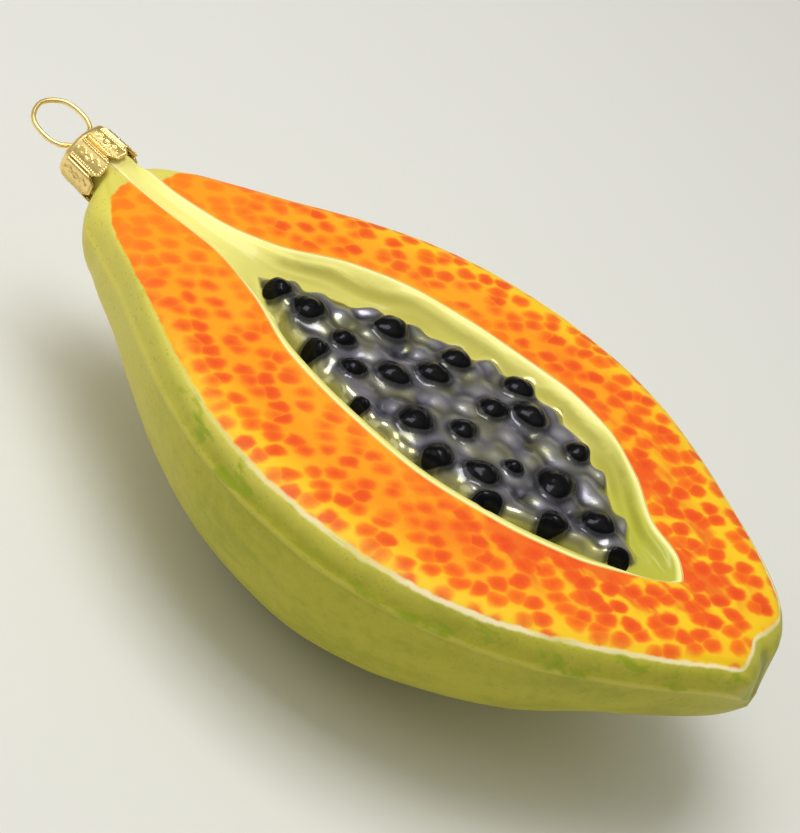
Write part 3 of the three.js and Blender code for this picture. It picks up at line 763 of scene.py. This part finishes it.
def body_ring(s, look):
    """Cross-sections of the fruit at stations s, with what each place on them is."""
    s = s[:, None]
    half = face_half(s)
    centre = (pocket_far(s) + pocket_near(s)) / 2
    reach = np.maximum((pocket_far(s) - pocket_near(s)) / 2, NARROWEST)
    flesh = np.linspace(0, 1, COLUMNS["flesh"], endpoint=False)[None]
    pocket = np.linspace(0, 1, COLUMNS["pocket"], endpoint=False)[None]
    last = np.linspace(0, 1, COLUMNS["flesh"] + 1)[None]
    far, near = centre + reach, centre - reach
    y = np.hstack([half + (far - half) * flesh, far + (near - far) * pocket, near + (-half - near) * last])
    across = np.broadcast_to(s, y.shape)
    z, seed_in, pulp_high = face_relief(across, y, look)
    flesh_in = half - np.abs(y)
    steep = 1 / np.sqrt(1 + (pocket_near(s + 0.5) - pocket_near(s - 0.5)) ** 2)
    steep_far = 1 / np.sqrt(1 + (pocket_far(s + 0.5) - pocket_far(s - 0.5)) ** 2)
    lip = LIP * ramp(s, 20, 40) * (1 - ramp(s, 84, 96))
    pocket_in = np.minimum((y - pocket_near(s) + lip) * steep, (pocket_far(s) - y) * steep_far)
    pocket_in = soft_least(pocket_in, POCKET_END - across, 0.8)
    bed_in = bed_distance(across, y)

    seam, drop, keel = seam_half(s), seam_depth(s), keel_depth(s)
    turn = (np.pi / 2) * np.linspace(0, 1, COLUMNS["side"] + 1)[None, 1:]
    ridge = (look.seam_ridge / MM) * bell((turn - np.pi / 2) * (drop - RIM_DROP), 0.55)
    side_y = half + (seam - half) * np.sin(turn) + ridge
    side_z = -RIM_DROP - (drop - RIM_DROP) * (1 - np.cos(turn))
    turn = (np.pi / 2) * (np.linspace(0, 1, COLUMNS["back"] + 1)[None, 1:] ** 1.15)
    under = (look.seam_ridge / MM) * bell(turn * (keel - drop), 0.55)
    back_y = (seam + under) * np.cos(turn) ** (2 / SECTION_POWER)
    back_z = -drop - (keel - drop) * np.sin(turn) ** (2 / SECTION_POWER)
    back_z = -soft_least(-back_z, np.full_like(back_z, REST_DEPTH), 0.25)
    skin_y, skin_z = np.hstack([side_y, back_y]), np.hstack([side_z, back_z])
    steps = np.hypot(np.diff(np.hstack([half, skin_y])), np.diff(np.hstack([0 * half - RIM_DROP, skin_z])))
    arc = np.cumsum(steps, axis=1)
    from_seam = arc - arc[:, COLUMNS["side"] - 1][:, None]

    def round_back(on_face, one_side):
        return np.hstack([on_face, one_side, one_side[:, -2::-1]])

    y_all = np.hstack([y, -skin_y, skin_y[:, -2::-1]])
    z_all = round_back(z, skin_z)
    away = np.full_like(skin_y, OFF_POCKET)
    values = {
        "flesh_in": round_back(flesh_in, -arc),
        "pocket_in": round_back(pocket_in, away),
        "bed_in": round_back(bed_in, away),
        "seed_in": round_back(seed_in, away),
        "pulp_high": round_back(pulp_high, 0 * skin_z),
        "from_seam": round_back(np.full_like(y, OFF_SEAM), from_seam),
        "below_face": round_back(-z, 0 * skin_z),
    }
    places = np.stack([np.broadcast_to(s, y_all.shape), y_all, z_all], axis=-1)
    return places, values


def neck_ring(s, radius):
    """Round rings across the leaning neck, in the same columns as the fruit's sections."""
    counts = [COLUMNS["flesh"], COLUMNS["pocket"], COLUMNS["flesh"], COLUMNS["side"] + COLUMNS["back"],
              COLUMNS["side"] + COLUMNS["back"]]
    parts = [np.linspace(a, b, n, endpoint=False) for a, b, n in zip(NECK_ANGLES, NECK_ANGLES[1:], counts)]
    turn = np.radians(np.concatenate(parts))[None, :, None]
    middle = np.array(MOUTH) + np.array(NECK_OUT) * ((s - MOUTH.x) / NECK_OUT.x)[:, None]
    spoke = np.cos(turn) * np.array(NECK_ACROSS) + np.sin(turn) * np.array(NECK_UP)
    return middle[:, None] + spoke * np.reshape(radius, (-1, 1, 1))


def lobe_start(y):
    """Where the painted flesh begins on either side of the pale band at the neck."""
    return np.where(y < LOBE_SPLIT, NEAR_LOBE, FAR_LOBE)


def furrow(places):
    """How deep in the furrow of the blossom end each place is, from 0 to 1."""
    across = (places[..., 1] - FURROW_ACROSS) / FURROW_WIDTH
    depth = -places[..., 2]
    return np.exp(-across * across) * ramp(depth, 0, 1.5) * (1 - ramp(depth, 8, 13))


def round_join(places, join, rows, passes, share):
    """Smooth the rows on either side of the join, each place by its share."""
    near_join = places[join - rows:join + rows]
    inner_share = share[join - rows + 1:join + rows - 1]
    for _ in range(passes):
        smoother = (near_join[:-2] + 2 * near_join[1:-1] + near_join[2:]) / 4
        near_join[1:-1] += inner_share * (smoother - near_join[1:-1])


def over_the_ends(values, rows_inside, domed, last_height):
    """The values of the sections, carried into the neck, over the domed end and once round."""
    whole = {}
    for label, value in values.items():
        before = np.repeat(value[:1], rows_inside, axis=0)
        after = np.repeat(value[-1:], len(domed), axis=0)
        if label == "flesh_in":
            before = np.full_like(before, OFF_FACE)
            rolled = (domed[..., 0] - FACE_END) + np.maximum(last_height - domed[..., 2], 0)
            after = np.minimum(after, after[:1] - 1.2 * rolled)
        whole[label] = np.concatenate([before, value, after])
    before_end = np.zeros_like(whole["flesh_in"][:-len(domed)])
    whole["furrow_in"] = np.concatenate([before_end, furrow(domed)])
    return {label: np.hstack([value, value[:, :1]]) for label, value in whole.items()}


def fruit_places(look):
    """The whole skin of the glass, from inside the neck round to the blossom end."""
    runs = [np.linspace(first, last, count) for first, last, count in STATION_RUNS]
    stations = np.concatenate([NECK_STATIONS, *runs])
    along = np.clip((stations - FLARE_START) / FLARE_LENGTH, 0, 1)
    swell = ((1 - (1 - along) ** 2) ** 0.75)[:, None, None]
    body, values = body_ring(stations, look)
    outside = neck_ring(stations, np.full(len(stations), NECK_RADIUS)) * (1 - swell) + body * swell

    s, y = body[..., 0], body[..., 1]
    scallop = 0.9 * bell(y + 1.5, 2.2) - 0.5 * bell(y - 4.5, 2.0)
    values["flesh_in"] = soft_least(values["flesh_in"], (s - lobe_start(y)) * 0.8, 2.5)
    values["flesh_in"] = np.minimum(values["flesh_in"], FACE_END + 0.5 - scallop - s)

    lip_s = np.array([NECK_INSIDE, -NECK_REACH + NECK_RIM, -NECK_REACH, -NECK_REACH])
    lip_r = np.array([NECK_BORE, NECK_BORE, NECK_BORE + NECK_RIM, NECK_RADIUS - NECK_RIM])
    inner = neck_ring(np.array([NECK_INSIDE]), np.array([0.0]))
    inside = np.concatenate([inner, neck_ring(lip_s, lip_r)])

    last = outside[-1]
    pole = np.array([last[0, 0], END_POLE_ACROSS, -END_POLE_DROP])
    turn = (np.pi / 2) * np.linspace(0, 1, END_STEPS + 1)[1:, None, None]
    domed = pole + (last - pole) * np.cos(turn)
    domed[..., 0] += END_BULGE * np.sin(turn[..., 0])
    domed[..., 0] -= FURROW_DEPTH * furrow(domed) * np.sin(turn[..., 0])
    domed[-1] = domed[-1].mean(axis=0)

    places = np.concatenate([inside, outside, domed])
    join = len(inside) + len(outside)
    on_back = ramp(-places[..., 2:], 2.5, 7)
    round_join(places, join, END_ROWS, END_PASSES, np.ones_like(on_back))
    round_join(places, join, BACK_ROWS, BACK_PASSES, on_back)
    whole = over_the_ends(values, len(inside), domed, last[:, 2])
    return np.concatenate([places, places[:, :1]], axis=1), whole


def slide_to_frame(places):
    """How far the fruit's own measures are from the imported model's frame, in millimetres."""
    low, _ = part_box("glass_body")
    return Vector((low.x / MM - places[..., 0].min(), 0, low.z / MM + REST_DEPTH))


class PAPAYA_OT_glass(bpy.types.Operator):
    """Model and paint the blown glass half papaya."""

    bl_idname = "papaya.glass"
    bl_label = "Blown glass"

    def execute(self, context):
        look = context.scene.papaya_glass
        places, values = fruit_places(look)
        context.scene["papaya_slide"] = slide_to_frame(places)
        slide = np.array(context.scene["papaya_slide"])
        piece = shaped_piece("blown_glass", places + slide, values, glass_paint(look, float(slide[0])))
        take_place(piece, "glass_body")
        return {"FINISHED"}


def crown_matrix(context):
    """From the cap's own axes, mouth at zero and up along the neck, to the frame."""
    axes = Matrix((NECK_ACROSS, -NECK_UP, NECK_OUT)).transposed().to_4x4()
    slide = Vector(context.scene["papaya_slide"])
    return Matrix.Translation(MOUTH + slide) @ axes


def panel_place(turn):
    """Signed distance along a panel of the cap from its middle, as an angle."""
    panel = 2 * math.pi / CAP_PANELS
    return np.mod(turn - CAP_TURN, panel) - panel / 2


def cap_radius(turn, z):
    """Radius of the cap's wall: soft flats that widen toward the mouth."""
    panel = 2 * math.pi / CAP_PANELS
    off = panel_place(turn)
    flat = math.cos(panel / 2) / np.cos(off)
    shape = 0.55 + 0.45 * flat / math.cos(panel / 4)
    return (CAP_RADIUS + CAP_FLARE * (1 - z / CAP_LENGTH)) * shape


def mouth_height(across):
    """Edge of a tongue: level in the middle, rising to the notch on either side."""
    notch = math.pi * CAP_RADIUS / CAP_PANELS
    return NOTCH_DEPTH * np.clip((np.abs(across) - (notch - NOTCH_HALF)) / NOTCH_HALF, 0, 1)


def bead_row(across, up, at, pitch, radius):
    """A row of round beads up a panel."""
    off = np.mod(up, pitch) - pitch / 2
    return dome(np.hypot(across - at, off) / radius)


def emboss(across, up):
    """Stamped relief of one panel: ribs and beads at its sides, a curl and dots in its middle."""
    edge = math.pi * CAP_RADIUS / CAP_PANELS
    side = np.abs(across)
    height = 0.9 * bell(side - (edge - 0.30), 0.09) - 1.1 * bell(side - edge, 0.09)
    height = height + 0.8 * bead_row(side, up, edge - 0.60, 0.38, 0.15)
    above = up - mouth_height(across)
    height = np.where(above < 0.62, np.minimum(height, 0.2), height)
    height = height + 0.9 * bell(above - 0.14, 0.12)
    height = height + 0.8 * dome(np.hypot(above - 0.44, np.mod(across, 0.36) - 0.18) / 0.14) * (up < 2.4)
    inner = (up > 1.2) & (up < 5.3)
    curl = 0.42 * np.sin((up - 1.3) * 2 * math.pi / 2.6)
    height = height + 0.8 * bell(across - curl, 0.13) * inner
    height = height + 0.7 * bell(across + 0.8 * curl, 0.10) * ((up > 2.1) & (up < 4.6))
    for dot_across, dot_up in ((0.45, 2.0), (-0.45, 3.3), (0.45, 4.6), (0.0, 1.2), (0.0, 5.45)):
        height = height + 0.9 * dome(np.hypot(across - dot_across, up - dot_up) / 0.2)
    return np.clip(height, -1.2, 1.1)


def cap_places(rise):
    """The cap's outer skin, from its scalloped mouth up and over to the middle of its end."""
    turns = np.linspace(0, 2 * math.pi, CAP_TURN_STEPS + 1)[None]
    edge = math.pi * CAP_RADIUS / CAP_PANELS
    across = panel_place(turns) / (math.pi / CAP_PANELS) * edge
    mouth = mouth_height(across)
    up = np.linspace(0, 1, CAP_WALL_STEPS + 1)[:, None]
    top = CAP_LENGTH - CAP_CHAMFER
    z = mouth + (top - mouth) * up
    fade = 1 - ramp(z, top - 0.35, top)
    height = emboss(np.broadcast_to(across, z.shape), z) * fade
    radius = cap_radius(turns, z) + rise * height
    wall = np.stack([radius * np.cos(turns), radius * np.sin(turns), z], axis=-1)

    steps = np.linspace(0, 1, CAP_SHOULDER_STEPS + 1)[1:, None] * (math.pi / 2)
    inset = CAP_CHAMFER * (1 - np.cos(steps))
    over_z = top + CAP_CHAMFER * np.sin(steps) + 0 * turns
    over_r = cap_radius(turns, over_z) - inset
    over = np.stack([over_r * np.cos(turns), over_r * np.sin(turns), over_z], axis=-1)

    share = 1 - np.linspace(0, 1, CAP_END_STEPS + 1)[1:, None]
    end_r = (cap_radius(turns, CAP_LENGTH) - CAP_CHAMFER) * share
    end_z = CAP_LENGTH + 0.10 * bell(end_r - 3.0, 0.25) + 0 * turns
    end = np.stack([end_r * np.cos(turns), end_r * np.sin(turns), end_z], axis=-1)
    raised = np.concatenate([height, 0 * over_z, 0 * end_z + 0.1])
    return np.concatenate([wall, over, end]), raised


def punch_wire_holes(bm):
    """Two round holes in the cap's end for the wire."""
    for side in (-1, 1):
        hole = Matrix.Rotation(WIRE_TURN, 3, "Z") @ Vector((side * LEG_HALF, WIRE_OFF_AXIS, 0)) * MM
        inside = []
        for vertex in bm.verts:
            off = (vertex.co - hole).to_2d()
            if vertex.co.z < (CAP_LENGTH - 0.2) * MM or off.length > (WIRE_HOLE + HOLE_BAND) * MM:
                continue
            if off.length > (WIRE_HOLE - HOLE_BAND) * MM:
                rim = hole.to_2d() + off.normalized() * WIRE_HOLE * MM
                vertex.co.x, vertex.co.y = rim
            else:
                inside.append(vertex)
        bmesh.ops.delete(bm, geom=inside, context="VERTS")


class PAPAYA_OT_cap(bpy.types.Operator):
    """Stamp the crown cap with its eight embossed panels."""

    bl_idname = "papaya.cap"
    bl_label = "Crown cap"

    def execute(self, context):
        look = context.scene.papaya_metal
        places, raised = cap_places(look.emboss / MM)
        gold = gold_paint("stamped_gold", look.gold)
        piece = shaped_piece("stamped_cap", places, {"raised": raised}, gold, closed=False)
        bm = bmesh.new()
        bm.from_mesh(piece.data)
        bmesh.ops.recalc_face_normals(bm, faces=bm.faces)
        if sum(face.normal.dot(face.calc_center_median()) for face in bm.faces) < 0:
            bmesh.ops.reverse_faces(bm, faces=bm.faces)
        punch_wire_holes(bm)
        bm.transform(Matrix.Scale(MM, 4) @ crown_matrix(context) @ Matrix.Scale(1 / MM, 4))
        bm.to_mesh(piece.data)
        bm.free()
        sheet = piece.modifiers.new("Sheet metal", "SOLIDIFY")
        sheet.thickness = CAP_SHEET * MM
        sheet.offset = -1
        take_place(piece, "crown_cap")
        return {"FINISHED"}


def wire_knots():
    """Points that the wire's middle line passes through, in the cap's axes."""
    leg = [(LEG_SPREAD, -LEG_REACH), (LEG_HALF + 0.25, -2.6), (LEG_HALF, WIRE_RADIUS),
           (LEG_HALF, CAP_LENGTH - LEG_HALF), (LEG_HALF, CAP_LENGTH + WIRE_RADIUS)]
    right = [Vector((x, 0, z)) for x, z in leg]
    lean = Matrix.Rotation(LOOP_LEAN, 3, "X")
    for wide, high in ((0.82, 0.2), (1, 0.45), (0.8, 0.82), (0, 1)):
        point = lean @ Vector((LOOP_HALF * wide, 0, LOOP_HEIGHT * high))
        right.append(point + Vector((0, 0, CAP_LENGTH)))
    left = [Vector((-p.x, p.y, p.z)) for p in reversed(right[:-1])]
    return right + left


def smooth_path(knots, steps):
    """A centripetal curve through the knots, as evenly numbered points."""
    knots = [2 * knots[0] - knots[1], *knots, 2 * knots[-1] - knots[-2]]
    path = []
    for a, b, c, d in zip(knots, knots[1:], knots[2:], knots[3:]):
        t1 = (b - a).length ** 0.5
        t2 = t1 + (c - b).length ** 0.5
        t3 = t2 + (d - c).length ** 0.5
        for i in range(steps):
            t = t1 + (t2 - t1) * i / steps
            ab, bc, cd = a.lerp(b, t / t1), b.lerp(c, (t - t1) / (t2 - t1)), c.lerp(d, (t - t2) / (t3 - t2))
            abc, bcd = ab.lerp(bc, t / t2), bc.lerp(cd, (t - t1) / (t3 - t1))
            path.append(abc.lerp(bcd, (t - t1) / (t2 - t1)))
    return [*path, knots[-2]]


class PAPAYA_OT_wire(bpy.types.Operator):
    """Bend the sprung hanger wire."""

    bl_idname = "papaya.wire"
    bl_label = "Hanger wire"

    def execute(self, context):
        look = context.scene.papaya_metal
        path = smooth_path(wire_knots(), 14)
        bm = bmesh.new()
        in_cap = Matrix.Rotation(WIRE_TURN, 4, "Z") @ Matrix.Translation((0, WIRE_OFF_AXIS, 0))
        place = crown_matrix(context) @ in_cap
        ahead = (path[1] - path[0]).normalized()
        across = ahead.cross(Vector((0, 1, 0))).normalized()
        rings = []
        for number, point in enumerate(path):
            after, before = path[min(number + 1, len(path) - 1)], path[max(number - 1, 0)]
            turned = (after - before).normalized()
            across = ahead.rotation_difference(turned) @ across
            ahead = turned
            frame_here = Matrix((across, ahead.cross(across), ahead)).transposed().to_4x4()
            matrix = Matrix.Scale(MM, 4) @ place @ Matrix.Translation(point) @ frame_here
            ends = number in (0, len(path) - 1)
            made = bmesh.ops.create_circle(bm, segments=20, radius=WIRE_RADIUS, cap_ends=ends, matrix=matrix)
            rings.append(list({edge for vertex in made["verts"] for edge in vertex.link_edges}))
        for first, second in zip(rings, rings[1:]):
            bmesh.ops.bridge_loops(bm, edges=first + second)
        bmesh.ops.recalc_face_normals(bm, faces=bm.faces)
        for face in bm.faces:
            face.smooth = len(face.verts) == 4
        mesh = bpy.data.meshes.new("sprung_wire")
        bm.to_mesh(mesh)
        bm.free()
        raised = mesh.attributes.new("raised", "FLOAT", "POINT")
        raised.data.foreach_set("value", np.full(len(mesh.vertices), 0.4, np.float32))
        mesh.materials.append(gold_paint("drawn_wire", look.wire))
        piece = bpy.data.objects.new("sprung_wire", mesh)
        context.collection.objects.link(piece)
        take_place(piece, "hanger_wire")
        return {"FINISHED"}


def floor_paint(tone):
    """Matt paper, very slightly uneven."""
    paint = Paint("pale_floor")
    soft = paint.noise(0.01, 2.0)
    base = paint.mix(paint.step(soft, 0.3, 0.7, 0.0, 0.04), tone, FLOOR_SHADE)
    return paint.finish(base, 0.7)


def soft_light(name, place, aim, size, power):
    """A wide area light at a place, turned toward its aim."""
    lamp = bpy.data.lights.new(name, "AREA")
    lamp.shape = "RECTANGLE"
    lamp.size, lamp.size_y = size
    lamp.energy = power
    lamp.color = LIGHT_TONE
    light = bpy.data.objects.new(name, lamp)
    light.location = place
    light.rotation_euler = (Vector(aim) - Vector(place)).to_track_quat("-Z", "Y").to_euler()
    bpy.context.collection.objects.link(light)


def soft_sky(tree, strength):
    """A warm room, brightest overhead and dimmest halfway up, so that the glass shows light and dark."""
    place = tree.nodes.new("ShaderNodeTexCoord")
    split = tree.nodes.new("ShaderNodeSeparateXYZ")
    ramp_node = tree.nodes.new("ShaderNodeValToRGB")
    bands = ramp_node.color_ramp
    for where, bright in SKY_BANDS:
        bands.elements.new(where).color = (bright, bright, bright, 1)
    bands.elements[0].color = (SKY_LEVEL, SKY_LEVEL, SKY_LEVEL, 1)
    bands.elements[-1].color = (1, 1, 1, 1)
    warm = tree.nodes.new("ShaderNodeMix")
    warm.data_type = "RGBA"
    warm.blend_type = "MULTIPLY"
    warm.inputs["Factor"].default_value = 1
    warm.inputs["B"].default_value = SKY_WARMTH
    ground = tree.nodes["Background"]
    ground.inputs["Strength"].default_value = strength
    tree.links.new(place.outputs["Generated"], split.inputs[0])
    tree.links.new(split.outputs["Z"], ramp_node.inputs[0])
    tree.links.new(ramp_node.outputs["Color"], warm.inputs["A"])
    tree.links.new(warm.outputs["Result"], ground.inputs["Color"])


def photo_camera(context):
    """The camera at the photograph's place, height and tilt of the head."""
    back = Vector((math.sin(CAMERA_AZIMUTH) * math.cos(CAMERA_HEIGHT),
                   -math.cos(CAMERA_AZIMUTH) * math.cos(CAMERA_HEIGHT), math.sin(CAMERA_HEIGHT)))
    slide = Vector(context.scene["papaya_slide"])
    level = Vector((0, 0, 1)).cross(back).normalized()
    upright = back.cross(level)
    right = level * math.cos(CAMERA_ROLL) + upright * math.sin(CAMERA_ROLL)
    up = back.cross(right)
    lens = bpy.data.cameras.new("photo_camera")
    lens.sensor_width = 36
    lens.lens = FOCAL_PIXELS * lens.sensor_width / FRAME_HIGH
    lens.shift_x = -AIM_OFF_X / FRAME_HIGH
    lens.shift_y = AIM_OFF_Y / FRAME_HIGH
    lens.clip_start, lens.clip_end = 0.01, 20
    camera = bpy.data.objects.new("photo_camera", lens)
    place = (Vector((AIM_ALONG, 0, 0)) + slide + back * CAMERA_DISTANCE) * MM
    camera.matrix_world = Matrix.Translation(place) @ Matrix((right, up, back)).transposed().to_4x4()
    context.collection.objects.link(camera)
    context.scene.camera = camera


class PAPAYA_OT_stage(bpy.types.Operator):
    """Lay the pale floor and set the soft lights and the camera."""

    bl_idname = "papaya.stage"
    bl_label = "Stage"

    def execute(self, context):
        look = context.scene.papaya_stage
        bm = bmesh.new()
        bmesh.ops.create_grid(bm, x_segments=2, y_segments=2, size=3.0)
        mesh = bpy.data.meshes.new("pale_floor")
        bm.to_mesh(mesh)
        bm.free()
        mesh.materials.append(floor_paint(look.floor))
        floor = bpy.data.objects.new("pale_floor", mesh)
        context.collection.objects.link(floor)

        soft_light("key_light", KEY_PLACE, (0, 0, 0), KEY_SIZE, look.key_power)
        soft_light("fill_light", FILL_PLACE, FILL_AIM, FILL_SIZE, look.fill_power)
        world = bpy.data.worlds.new("studio")
        world.use_nodes = True
        soft_sky(world.node_tree, look.sky)
        context.scene.world = world
        context.scene.view_settings.view_transform = "Standard"
        photo_camera(context)
        return {"FINISHED"}


class PAPAYA_PT_panel(bpy.types.Panel):
    """Sidebar panel with one button for each piece."""

    bl_idname = "PAPAYA_PT_panel"
    bl_label = "Glass Papaya Ornament"
    bl_space_type = "VIEW_3D"
    bl_region_type = "UI"
    bl_category = "Papaya"

    def draw(self, context):
        for settings in (context.scene.papaya_glass, context.scene.papaya_metal, context.scene.papaya_stage):
            box = self.layout.box()
            for name in settings.bl_rna.properties.keys():
                if name not in ("rna_type", "name"):
                    box.prop(settings, name)
        for operator in OPERATORS:
            self.layout.operator(operator.bl_idname)


SETTINGS = {"papaya_glass": GlassSettings, "papaya_metal": MetalSettings, "papaya_stage": StageSettings}
OPERATORS = (PAPAYA_OT_glass, PAPAYA_OT_cap, PAPAYA_OT_wire, PAPAYA_OT_stage)


def register():
    for settings in SETTINGS.values():
        bpy.utils.register_class(settings)
    for operator in OPERATORS:
        bpy.utils.register_class(operator)
    bpy.utils.register_class(PAPAYA_PT_panel)
    for name, settings in SETTINGS.items():
        setattr(bpy.types.Scene, name, PointerProperty(type=settings))


def unregister():
    for name in SETTINGS:
        delattr(bpy.types.Scene, name)
    bpy.utils.unregister_class(PAPAYA_PT_panel)
    for operator in reversed(OPERATORS):
        bpy.utils.unregister_class(operator)
    for settings in reversed(SETTINGS.values()):
        bpy.utils.unregister_class(settings)


def main():
    register()
    bpy.ops.papaya.glass()
    bpy.ops.papaya.cap()
    bpy.ops.papaya.wire()
    bpy.ops.papaya.stage()


if __name__ == "__main__":
    main()
